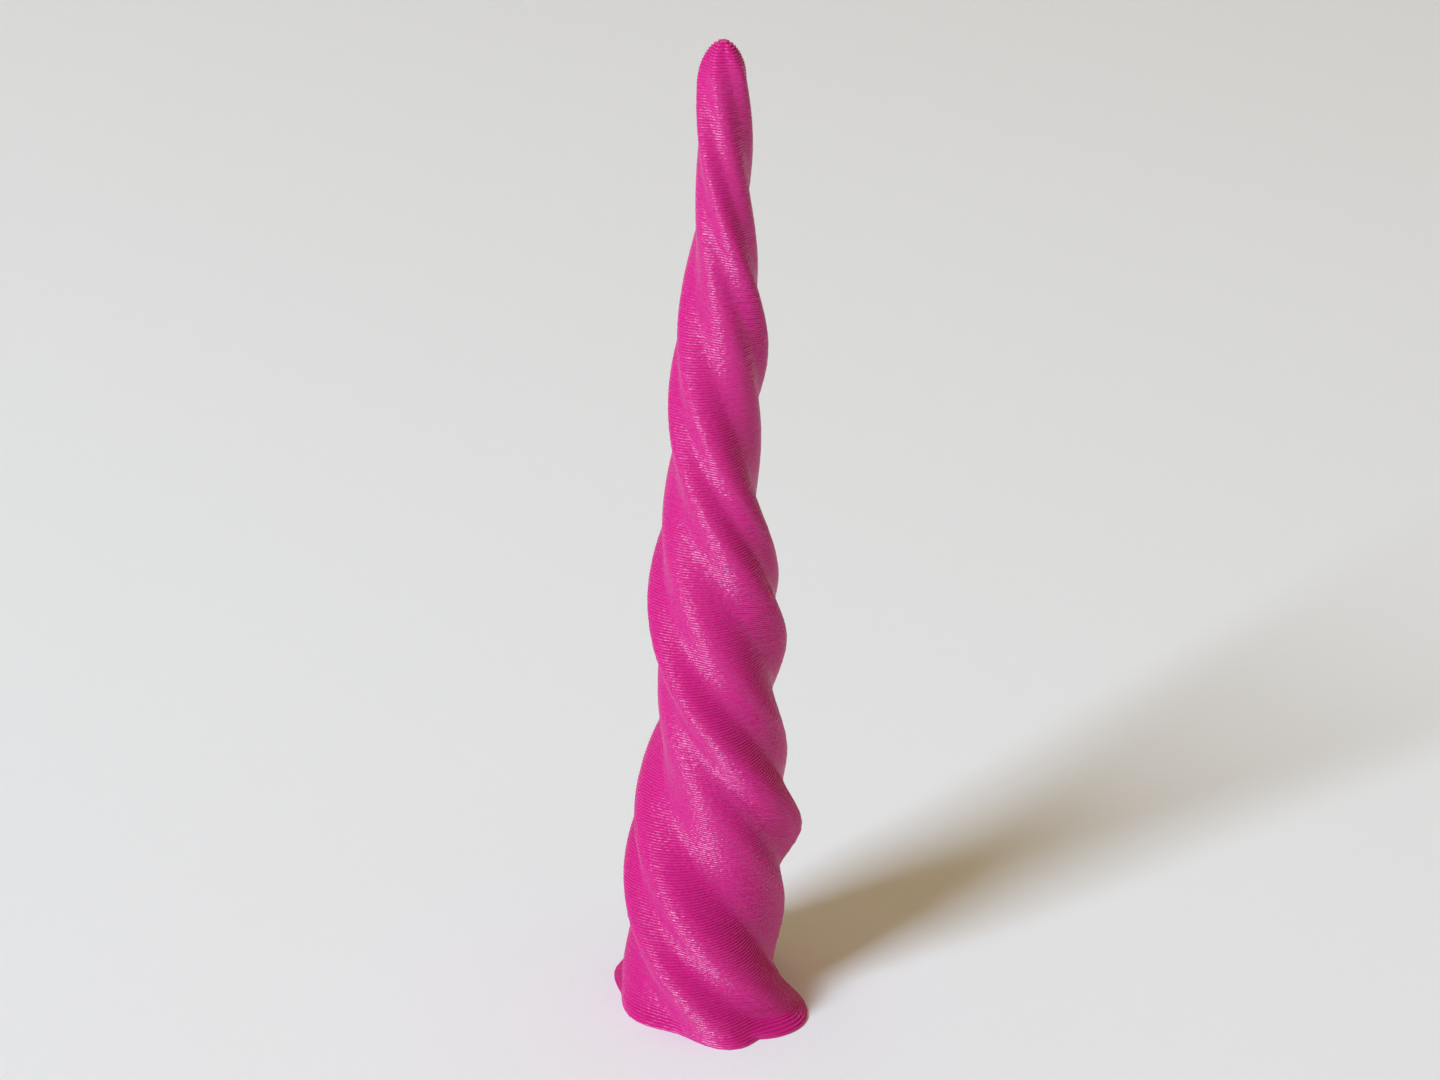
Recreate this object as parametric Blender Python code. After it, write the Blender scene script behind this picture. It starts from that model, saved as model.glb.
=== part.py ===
"""A narwhal tusk printed in magenta plastic: one solid standing on its flat base, +Z up.

Run with  blender --background --python part.py , or from Blender's text editor.

The tusk is one outline of five ridges and five grooves, drawn around the axis of its twist, which is Z.
As it rises from the base the outline turns steadily clockwise, seen from above, and shrinks in a straight
taper. A short dome rounds off the tip, and the lowest layers spread into a foot with an outline of its own.
"""

import bmesh
import bpy
import numpy as np

MM = 0.001

# Driving dimensions, in millimetres and degrees
HEIGHT = 100.0
TWIST = -700.0
TIP_SHARE = 0.20
TIP_ROUNDING = 3.7
FOOT_FADE = 1.0

# Each row of an outline is a ridge and the groove that follows it counter-clockwise, seen from above:
# the ridge's bearing from +X, its distance from the axis, the groove's bearing and distance, and how sharp
# the groove is, from 0 for round to 1 for a crease.
BODY_OUTLINE = (
    (80.5, 8.0, 108.0, 7.6, 0.0),
    (141.5, 10.5, 173.0, 8.5, 0.0),
    (201.5, 9.3, 247.0, 7.7, 0.0),
    (287.0, 10.2, 313.0, 8.7, 0.0),
    (336.0, 9.6, 24.5, 6.4, 0.0),
)
FOOT_OUTLINE = (
    (74.0, 10.1, 108.0, 8.5, 0.0),
    (153.5, 10.9, 184.5, 9.2, 0.4),
    (209.0, 9.5, 246.0, 8.4, 0.0),
    (284.0, 10.7, 299.5, 9.7, 0.9),
    (325.5, 11.0, 22.5, 7.8, 0.0),
)

# How finely the surface is divided. The foot's rings stop where its outline has faded out.
COLUMNS_PER_FLANK = 5
FOOT_RINGS = 6
FOOT_TOP = 2.5 * FOOT_FADE
BODY_RINGS = 80
TIP_RINGS = 8
SHARP_EDGE_DEGREES = 60.0

# Satin magenta plastic
PLASTIC_COLOUR = (0.70, 0.03, 0.27, 1.0)
PLASTIC_ROUGHNESS = 0.45


def clear_scene():
    for thing in list(bpy.data.objects):
        bpy.data.objects.remove(thing, do_unlink=True)


def turn_between(start, end):
    """The shorter way round from one bearing to another, in degrees, positive counter-clockwise."""
    return (end - start + 180.0) % 360.0 - 180.0


def with_next_ridge(outline):
    """Each row of an outline, together with the row that follows it around the axis."""
    return zip(outline, outline[1:] + outline[:1])


def climb(share, sharpness):
    """The way up from a groove (share 0) to a ridge (share 1). It always levels off at the ridge."""
    from_round_groove = share * share * (3.0 - 2.0 * share)
    from_crease = 1.0 - (1.0 - share) ** 2
    return from_round_groove + sharpness * (from_crease - from_round_groove)


def outline_radii(outline, bearings):
    """The outline's distance from the axis, in millimetres, at each bearing in degrees."""
    radii = np.zeros(len(bearings))
    for (ridge, reach, groove, depth, sharpness), (next_ridge, next_reach, *_) in with_next_ridge(outline):
        for peak, peak_reach in ((ridge, reach), (next_ridge, next_reach)):
            share = turn_between(groove, bearings) / turn_between(groove, peak)
            flank = (share >= 0.0) & (share <= 1.0)
            radii[flank] = depth + (peak_reach - depth) * climb(share[flank], sharpness)
    return radii


def column_bearings():
    """Bearings at the base, evenly spaced on each flank, so that faces meet along every ridge and groove."""
    steps = np.arange(COLUMNS_PER_FLANK) / COLUMNS_PER_FLANK
    bearings = []
    for (ridge, _, groove, *_), (next_ridge, *_) in with_next_ridge(BODY_OUTLINE):
        bearings.extend(ridge + turn_between(ridge, groove) * steps)
        bearings.extend(groove + turn_between(groove, next_ridge) * steps)
    return np.array(bearings)


def ring_heights():
    """Close together in the foot, even along the body, and closer again over the rounded tip."""
    tip_start = HEIGHT - TIP_ROUNDING
    foot = np.linspace(0.0, FOOT_TOP, FOOT_RINGS, endpoint=False)
    body = np.linspace(FOOT_TOP, tip_start, BODY_RINGS, endpoint=False)
    quarter_circle = np.linspace(0.0, np.pi / 2, TIP_RINGS, endpoint=False)
    return np.concatenate([foot, body, tip_start + TIP_ROUNDING * np.sin(quarter_circle)])


def size_at(height):
    """The outline's size at a height, as a share of its size at the base: a straight taper, then a dome."""
    taper = 1.0 - (1.0 - TIP_SHARE) * height / HEIGHT
    into_tip = max(0.0, height - (HEIGHT - TIP_ROUNDING)) / TIP_ROUNDING
    return taper * np.sqrt(1.0 - into_tip**2)


def foot_share(height):
    """How much of the foot's outline is left at a height: all of it on the ground, fading in a bell curve."""
    return np.exp(-((height / FOOT_FADE) ** 2))


def build_tusk():
    columns = column_bearings()
    body = outline_radii(BODY_OUTLINE, columns)
    foot = outline_radii(FOOT_OUTLINE, columns)
    shape = bmesh.new()

    rings = []
    for height in ring_heights():
        radii = size_at(height) * (body + foot_share(height) * (foot - body))
        angles = np.radians(columns + TWIST * height / HEIGHT)
        points = zip(radii * np.cos(angles), radii * np.sin(angles))
        rings.append([shape.verts.new((x * MM, y * MM, height * MM)) for x, y in points])
    tip = shape.verts.new((0.0, 0.0, HEIGHT * MM))

    shape.faces.new(reversed(rings[0]))
    sides = []
    for lower, upper in zip(rings, rings[1:]):
        for here in range(len(columns)):
            after = (here + 1) % len(columns)
            sides.append(shape.faces.new((lower[here], lower[after], upper[after], upper[here])))
    for here in range(len(columns)):
        after = (here + 1) % len(columns)
        shape.faces.new((rings[-1][here], rings[-1][after], tip))

    bmesh.ops.triangulate(shape, faces=sides)
    bmesh.ops.recalc_face_normals(shape, faces=shape.faces)
    mesh = bpy.data.meshes.new("tusk")
    shape.to_mesh(mesh)
    shape.free()
    mesh.shade_smooth()
    mesh.set_sharp_from_angle(angle=np.radians(SHARP_EDGE_DEGREES))
    return mesh


def magenta_plastic():
    material = bpy.data.materials.new("magenta_plastic")
    material.use_nodes = True
    surface = material.node_tree.nodes["Principled BSDF"]
    surface.inputs["Base Color"].default_value = PLASTIC_COLOUR
    surface.inputs["Roughness"].default_value = PLASTIC_ROUGHNESS
    surface.inputs["Metallic"].default_value = 0.0
    return material


def main():
    clear_scene()
    mesh = build_tusk()
    mesh.materials.append(magenta_plastic())
    tusk = bpy.data.objects.new("tusk", mesh)
    bpy.context.scene.collection.objects.link(tusk)


main()
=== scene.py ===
"""A narwhal tusk printed in magenta plastic, standing on pale paper in soft daylight.

The tusk is rebuilt layer by layer over its CAD solid, because a printed thing is a stack of flat outlines,
and that stack is what breaks up the light on it. Blender works in metres. The tusk's own dimensions are in
millimetres, and MM turns them into metres.
"""

import math

import bpy
import numpy as np
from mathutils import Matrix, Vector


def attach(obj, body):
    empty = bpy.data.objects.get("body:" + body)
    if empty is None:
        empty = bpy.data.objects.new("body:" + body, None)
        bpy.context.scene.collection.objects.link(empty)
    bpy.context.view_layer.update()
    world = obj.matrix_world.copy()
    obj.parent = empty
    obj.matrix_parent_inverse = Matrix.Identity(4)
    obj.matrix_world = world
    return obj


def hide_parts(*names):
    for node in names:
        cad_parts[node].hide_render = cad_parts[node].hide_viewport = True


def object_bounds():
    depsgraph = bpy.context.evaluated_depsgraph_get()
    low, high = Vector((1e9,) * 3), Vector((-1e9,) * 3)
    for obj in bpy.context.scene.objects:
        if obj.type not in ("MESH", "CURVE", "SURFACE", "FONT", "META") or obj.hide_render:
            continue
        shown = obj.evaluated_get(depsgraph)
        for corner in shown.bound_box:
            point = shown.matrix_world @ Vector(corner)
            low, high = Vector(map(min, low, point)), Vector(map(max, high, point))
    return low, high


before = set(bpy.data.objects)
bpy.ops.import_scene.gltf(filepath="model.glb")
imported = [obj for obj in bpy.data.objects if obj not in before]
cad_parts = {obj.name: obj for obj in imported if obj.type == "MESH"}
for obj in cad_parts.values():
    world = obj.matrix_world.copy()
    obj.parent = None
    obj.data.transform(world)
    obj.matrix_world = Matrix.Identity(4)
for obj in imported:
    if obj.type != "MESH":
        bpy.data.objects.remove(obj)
cad_low, cad_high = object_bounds()

MM = 0.001

# The tusk's driving dimensions, in millimetres and degrees, as its solid has them
HEIGHT = (cad_high.z - cad_low.z) / MM
TWIST = -700.0
TIP_SHARE = 0.20
TIP_ROUNDING = 3.7
FOOT_FADE = 1.0

# Each row is a ridge and the groove that follows it counter-clockwise, seen from above: the ridge's bearing
# from +X, its distance from the axis, the groove's bearing and distance, and how sharp the groove is, from 0
# for round to 1 for a crease.
BODY_OUTLINE = (
    (80.5, 8.0, 108.0, 7.6, 0.0),
    (141.5, 10.5, 173.0, 8.5, 0.0),
    (201.5, 9.3, 247.0, 7.7, 0.0),
    (287.0, 10.2, 313.0, 8.7, 0.0),
    (336.0, 9.6, 24.5, 6.4, 0.0),
)
FOOT_OUTLINE = (
    (74.0, 10.1, 108.0, 8.5, 0.0),
    (153.5, 10.9, 184.5, 9.2, 0.4),
    (209.0, 9.5, 246.0, 8.4, 0.0),
    (284.0, 10.7, 299.5, 9.7, 0.9),
    (325.5, 11.0, 22.5, 7.8, 0.0),
)

# The print, in millimetres: its layers, the seam pressed in between two of them, how far a bead of plastic
# wanders from its line, and how much further it strays where it overhangs the layer below by its own height.
LAYER = 0.25
SEAM_DEPTH = 0.022
BEAD_WANDER = 0.006
OVERHANG_SAG = 0.05
PRINT_SEED = 7

# How finely the print is divided. A layer has a row of points at each of these shares of its height.
BEAD_ROWS = (0.0, 0.2, 0.5, 0.8)
COLUMNS_PER_FLANK = 6
UNDERSIDE_RINGS = 4
SHARP_EDGE_DEGREES = 60.0

# The paper, in metres: how far it lies flat from the tusk, the radius of the bend behind that, the rings of
# points on the flat as shares of it, and how far the paper lies under the tusk's foot.
PAPER_FLAT = 1.00
PAPER_BEND = 0.60
PAPER_RINGS = (1 / 30, 1 / 6, 1 / 2)
PAPER_GAP = 0.02 * MM
BEND_STEPS = 25
PAPER_COLUMNS = 96

# Cool daylight from the left, and the warmer light that fills the shadows
DAYLIGHT = (0.67, 0.79, 0.97)
WARM_LIGHT = (1.0, 0.74, 0.36)

# The camera, found from the tusk's outline, twist and foot in the photograph. Lens and sensor are in
# millimetres, and what the camera can see lies between two distances in metres.
CAMERA_PLACE_MM = (0.25, -279.55, 178.87)
CAMERA_DOWN_DEGREES = 24.6
CAMERA_ROLL_DEGREES = 0.78
CAMERA_LENS = 80.4
CAMERA_SENSOR = 36.0
CAMERA_NEAR = 0.01
CAMERA_FAR = 10.0


def linear(colour):
    """A colour written as #RRGGBB in sRGB, as linear RGBA."""
    parts = [int(colour[start:start + 2], 16) / 255 for start in (1, 3, 5)]
    bright = [part / 12.92 if part <= 0.04045 else ((part + 0.055) / 1.055) ** 2.4 for part in parts]
    return (*bright, 1.0)


def node(tree, kind, inputs=None, **settings):
    """Adds a node with its settings. An input given as a socket is linked, and any other is set."""
    made = tree.nodes.new(kind)
    for name, value in settings.items():
        setattr(made, name, value)
    for name, value in (inputs or {}).items():
        if isinstance(value, bpy.types.NodeSocket):
            tree.links.new(value, made.inputs[name])
        else:
            made.inputs[name].default_value = value
    return made


def new_object(name, vertices, faces, material):
    """A mesh object at the origin, smooth shaded but for its square corners."""
    mesh = bpy.data.meshes.new(name)
    mesh.from_pydata(vertices, [], faces)
    mesh.shade_smooth()
    mesh.set_sharp_from_angle(angle=math.radians(SHARP_EDGE_DEGREES))
    mesh.materials.append(material)
    made = bpy.data.objects.new(name, mesh)
    bpy.context.scene.collection.objects.link(made)
    return made


def wrapped_quads(rows, columns):
    """Faces of a grid whose last column meets its first, with its points numbered row by row."""
    here = np.arange(rows * columns).reshape(rows, columns)
    after = np.roll(here, -1, axis=1)
    return np.stack([here[:-1], after[:-1], after[1:], here[1:]], axis=-1).reshape(-1, 4)


def turn_between(start, end):
    """The shorter way round from one bearing to another, in degrees, positive counter-clockwise."""
    return (end - start + 180.0) % 360.0 - 180.0


def with_next_ridge(outline):
    """Each row of an outline, together with the row that follows it around the axis."""
    return zip(outline, outline[1:] + outline[:1])


def climb(share, sharpness):
    """The way up from a groove (share 0) to a ridge (share 1). It always levels off at the ridge.

    A round groove follows 3s^2 - 2s^3 and a crease follows 1 - (1 - s)^2; sharpness mixes the two.
    """
    from_round_groove = share * share * (3.0 - 2.0 * share)
    from_crease = 1.0 - (1.0 - share) ** 2
    return from_round_groove + sharpness * (from_crease - from_round_groove)


def outline_radii(outline, bearings):
    """The outline's distance from the axis, in millimetres, at each bearing in degrees.

    Between a groove and the ridge on either side, the distance follows climb() of the share of the way.
    """
    radii = np.zeros(bearings.shape)
    for (ridge, reach, groove, depth, sharpness), (next_ridge, next_reach, *_) in with_next_ridge(outline):
        for peak, peak_reach in ((ridge, reach), (next_ridge, next_reach)):
            share = turn_between(groove, bearings) / turn_between(groove, peak)
            flank = (share >= 0.0) & (share <= 1.0)
            radii[flank] = depth + (peak_reach - depth) * climb(share[flank], sharpness)
    return radii


def column_bearings():
    """Bearings at the base, evenly spaced on each flank, so that a column of points runs up each ridge."""
    steps = np.arange(COLUMNS_PER_FLANK) / COLUMNS_PER_FLANK
    bearings = []
    for (ridge, _, groove, *_), (next_ridge, *_) in with_next_ridge(BODY_OUTLINE):
        bearings.extend(ridge + turn_between(ridge, groove) * steps)
        bearings.extend(groove + turn_between(groove, next_ridge) * steps)
    return np.array(bearings)


def layer_radii(layers, bearings):
    """The distance from the axis to each layer's outline, at true bearings: one row per layer asked for.

    A layer is the outline at its mid-height m: turned by TWIST * m / HEIGHT, shrunk in a straight taper and
    then a dome, and mixed with the foot's outline by exp(-(m / FOOT_FADE)^2).
    """
    middle = (layers[:, None] + 0.5) * LAYER
    local = bearings - TWIST * middle / HEIGHT
    body = outline_radii(BODY_OUTLINE, local)
    foot = outline_radii(FOOT_OUTLINE, local)
    taper = 1.0 - (1.0 - TIP_SHARE) * middle / HEIGHT
    into_tip = np.maximum(0.0, middle - (HEIGHT - TIP_ROUNDING)) / TIP_ROUNDING
    size = taper * np.sqrt(1.0 - into_tip**2)
    return size * (body + np.exp(-((middle / FOOT_FADE) ** 2)) * (foot - body))


def bead_offsets(layer_count, columns):
    """How far each bead of plastic strays in or out, in millimetres, as layers by columns.

    Along a bead it is a random number averaged with its two neighbours, plus half of one drawn for the whole
    layer. Where a bead overhangs the layer below it strays further, in proportion to the overhang.
    """
    chance = np.random.default_rng(PRINT_SEED)
    loose = chance.normal(size=(layer_count, len(columns)))
    smooth = (np.roll(loose, 1, axis=1) + 2.0 * loose + np.roll(loose, -1, axis=1)) / 4.0
    whole_layer = chance.normal(size=(layer_count, 1))
    layers = np.arange(layer_count)
    bearings = columns + TWIST * (layers[:, None] + 0.5) * LAYER / HEIGHT
    below = layer_radii(np.maximum(layers - 1, 0), bearings)
    overhang = np.maximum(0.0, layer_radii(layers, bearings) - below) / LAYER
    return BEAD_WANDER * (smooth + 0.5 * whole_layer) + OVERHANG_SAG * overhang * smooth


def printed_tusk(material):
    """The tusk as the printer lays it: four rows of points to a layer, by columns that follow the twist.

    At a share t of its layer's height, a bead's face lies SEAM_DEPTH * |2t - 1|^3 inside that outline.
    The seam row, at t = 0, starts from the smaller of the two outlines it joins: slopes become ledges.
    """
    layer_count = round(HEIGHT / LAYER)
    columns = column_bearings()
    offsets = bead_offsets(layer_count, columns)

    layer, row = np.divmod(np.arange(layer_count * len(BEAD_ROWS)), len(BEAD_ROWS))
    share = np.array(BEAD_ROWS)[row]
    below = np.where(row == 0, np.maximum(layer - 1, 0), layer)
    heights = (layer + share) * LAYER
    bearings = columns + TWIST * heights[:, None] / HEIGHT
    radii = np.minimum(
        layer_radii(layer, bearings) + offsets[layer],
        layer_radii(below, bearings) + offsets[below],
    )
    radii = radii - SEAM_DEPTH * np.abs(2.0 * share - 1.0)[:, None] ** 3

    # The underside is flat: smaller copies of the lowest ring, at its height
    inward = np.linspace(0.0, 1.0, UNDERSIDE_RINGS, endpoint=False)[1:, None]
    radii = np.concatenate([radii[:1] * inward, radii])
    bearings = np.concatenate([np.repeat(bearings[:1], len(inward), axis=0), bearings])
    heights = np.concatenate([np.zeros(len(inward)), heights])

    angles = np.radians(bearings)
    across = np.stack([radii * np.cos(angles), radii * np.sin(angles)], axis=-1)
    upward = np.broadcast_to(heights[:, None, None], (*radii.shape, 1))
    points = np.concatenate([across, upward], axis=-1).reshape(-1, 3)
    poles = np.array([[0.0, 0.0, 0.0], [0.0, 0.0, HEIGHT]])
    vertices = np.concatenate([points, poles]) * MM
    foot_pole, tip_pole = len(points), len(points) + 1

    quads = wrapped_quads(len(heights), len(columns))
    first = np.arange(len(columns))
    last = first + len(points) - len(columns)
    underside = np.stack([np.roll(first, -1), first, np.full_like(first, foot_pole)], axis=-1)
    top = np.stack([last, np.roll(last, -1), np.full_like(last, tip_pole)], axis=-1)
    faces = quads.tolist() + underside.tolist() + top.tolist()
    return new_object("printed_tusk", vertices.tolist(), faces, material)


def printed_pla():
    """Satin magenta PLA, extruded in beads: a deep, slightly soft colour under a thin satin skin.

    The colour scatters a little light inside the plastic, and the skin alone reflects. Each has its own
    relief, because the light that goes into the plastic blurs away what the skin still shows.
    """
    material = bpy.data.materials.new("printed_pla")
    material.use_nodes = True
    tree = material.node_tree
    surface = tree.nodes["Principled BSDF"]

    bead_height = LAYER * MM
    glint_length = 0.5 * MM
    glint_depth = 0.12 * MM
    round_depth = 0.04 * MM
    body_depth = 0.04 * MM
    filament_drift = 12 * MM
    wave_radians = 20

    # The plastic cools unevenly along a bead, so its skin glints every half millimetre or so.
    place = node(tree, "ShaderNodeTexCoord")
    along_beads = node(
        tree,
        "ShaderNodeMapping",
        {"Vector": place.outputs["Object"], "Scale": (1 / glint_length, 1 / glint_length, 1 / bead_height)},
    )
    shimmer = node(
        tree,
        "ShaderNodeTexNoise",
        {"Vector": along_beads.outputs["Vector"], "Scale": 1.0, "Detail": 1.0, "Roughness": 0.5},
    )

    # The skin follows each bead's round, one wave to a layer. At scale 1 a wave texture goes through
    # wave_radians for each metre, and a whole wave is 2 * pi of them.
    beads = node(
        tree,
        "ShaderNodeTexWave",
        {"Vector": place.outputs["Object"], "Scale": 2 * math.pi / (wave_radians * bead_height)},
        bands_direction="Z",
    )
    rounds = node(
        tree,
        "ShaderNodeBump",
        {"Height": beads.outputs["Fac"], "Strength": 1.0, "Distance": round_depth},
    )
    skin_relief = node(
        tree,
        "ShaderNodeBump",
        {
            "Height": shimmer.outputs["Fac"],
            "Strength": 1.0,
            "Distance": glint_depth,
            "Normal": rounds.outputs["Normal"],
        },
    )
    body_relief = node(
        tree,
        "ShaderNodeBump",
        {"Height": shimmer.outputs["Fac"], "Strength": 1.0, "Distance": body_depth},
    )

    # Colour drifts a little from one stretch of filament to the next.
    drift = node(
        tree,
        "ShaderNodeTexNoise",
        {"Vector": place.outputs["Object"], "Scale": 1 / filament_drift, "Detail": 1.0},
    )
    colour = node(
        tree,
        "ShaderNodeMix",
        {"Factor": drift.outputs["Fac"], "A": linear("#BD1371"), "B": linear("#C51B77")},
        data_type="RGBA",
    )
    tree.links.new(colour.outputs["Result"], surface.inputs["Base Color"])
    tree.links.new(body_relief.outputs["Normal"], surface.inputs["Normal"])
    tree.links.new(skin_relief.outputs["Normal"], surface.inputs["Coat Normal"])
    surface.inputs["Roughness"].default_value = 0.55
    surface.inputs["IOR"].default_value = 1.46
    surface.inputs["Specular IOR Level"].default_value = 0.0
    surface.inputs["Coat Weight"].default_value = 1.0
    surface.inputs["Coat Roughness"].default_value = 0.36
    surface.inputs["Coat IOR"].default_value = 1.50
    surface.inputs["Subsurface Weight"].default_value = 0.15
    surface.inputs["Subsurface Radius"].default_value = (1.0, 0.2, 0.5)
    surface.inputs["Subsurface Scale"].default_value = 0.6 * MM
    return material


def uncoated_paper():
    """Heavy uncoated paper, pressed and dried: white, quite matt, with a faint tooth."""
    material = bpy.data.materials.new("uncoated_paper")
    material.use_nodes = True
    tree = material.node_tree
    surface = tree.nodes["Principled BSDF"]
    tooth_width = 0.8 * MM
    tooth_depth = 0.05 * MM
    place = node(tree, "ShaderNodeTexCoord")
    tooth = node(
        tree,
        "ShaderNodeTexNoise",
        {"Vector": place.outputs["Object"], "Scale": 1 / tooth_width, "Detail": 3.0},
    )
    relief = node(
        tree,
        "ShaderNodeBump",
        {"Height": tooth.outputs["Fac"], "Strength": 0.3, "Distance": tooth_depth},
    )
    tree.links.new(relief.outputs["Normal"], surface.inputs["Normal"])
    surface.inputs["Base Color"].default_value = linear("#E4E4E3")
    surface.inputs["Roughness"].default_value = 0.85
    surface.inputs["Specular IOR Level"].default_value = 0.25
    return material


def paper_sweep():
    """A round sheet of paper under the tusk, flat in the middle and curving up all round into a backdrop.

    Its profile is a straight run and then a quarter circle, turned about Z.
    """
    run = PAPER_FLAT * np.array(PAPER_RINGS)
    arc = np.linspace(0.0, np.pi / 2, BEND_STEPS)
    reach = np.concatenate([run, PAPER_FLAT + PAPER_BEND * np.sin(arc)])
    rise = np.concatenate([np.zeros(len(run)), PAPER_BEND * (1.0 - np.cos(arc))]) - PAPER_GAP
    around = np.linspace(0.0, 2 * np.pi, PAPER_COLUMNS, endpoint=False)
    x = reach[:, None] * np.cos(around)
    y = reach[:, None] * np.sin(around)
    z = np.broadcast_to(rise[:, None], x.shape)
    points = np.stack([x, y, z], axis=-1).reshape(-1, 3)
    faces = wrapped_quads(len(reach), len(around)).tolist()
    faces.append(list(range(len(around))))
    return new_object("paper_sweep", points.tolist(), faces, uncoated_paper())


def lamp(name, width, height, energy, colour, bearing, elevation, distance):
    """A rectangle of light that faces the tusk, in metres, watts and degrees."""
    light = bpy.data.lights.new(name, "AREA")
    light.shape = "RECTANGLE"
    light.size = width
    light.size_y = height
    light.energy = energy
    light.color = colour
    made = bpy.data.objects.new(name, light)
    bearing, elevation = math.radians(bearing), math.radians(elevation)
    made.location = (
        distance * math.cos(elevation) * math.cos(bearing),
        distance * math.cos(elevation) * math.sin(bearing),
        distance * math.sin(elevation),
    )
    made.rotation_euler = (math.pi / 2 - elevation, 0.0, bearing + math.pi / 2)
    bpy.context.scene.collection.objects.link(made)


def fill_light(strength, colour):
    """Dim light from all round."""
    world = bpy.data.worlds.new("fill")
    world.use_nodes = True
    background = world.node_tree.nodes["Background"]
    background.inputs["Color"].default_value = (*colour, 1.0)
    background.inputs["Strength"].default_value = strength
    bpy.context.scene.world = world


def photo_camera():
    """The camera at the photograph's place and angle."""
    lens = bpy.data.cameras.new("camera")
    lens.lens = CAMERA_LENS
    lens.sensor_width = CAMERA_SENSOR
    lens.clip_start = CAMERA_NEAR
    lens.clip_end = CAMERA_FAR
    camera = bpy.data.objects.new("camera", lens)
    camera.location = [value * MM for value in CAMERA_PLACE_MM]
    camera.rotation_mode = "ZYX"
    camera.rotation_euler = (math.radians(90 - CAMERA_DOWN_DEGREES), 0.0, math.radians(CAMERA_ROLL_DEGREES))
    bpy.context.scene.collection.objects.link(camera)
    bpy.context.scene.camera = camera


photo_camera()
lamp(
    "daylight",
    width=0.70,
    height=0.92,
    energy=94.0,
    colour=DAYLIGHT,
    bearing=223.0,
    elevation=37.0,
    distance=2.6,
)
lamp(
    "overhead",
    width=2.00,
    height=2.00,
    energy=14.0,
    colour=WARM_LIGHT,
    bearing=90.0,
    elevation=90.0,
    distance=2.2,
)
fill_light(strength=0.135, colour=WARM_LIGHT)
bpy.context.scene.view_settings.view_transform = "Standard"
paper_sweep()

tusk = printed_tusk(printed_pla())
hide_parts("tusk")
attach(tusk, "root")
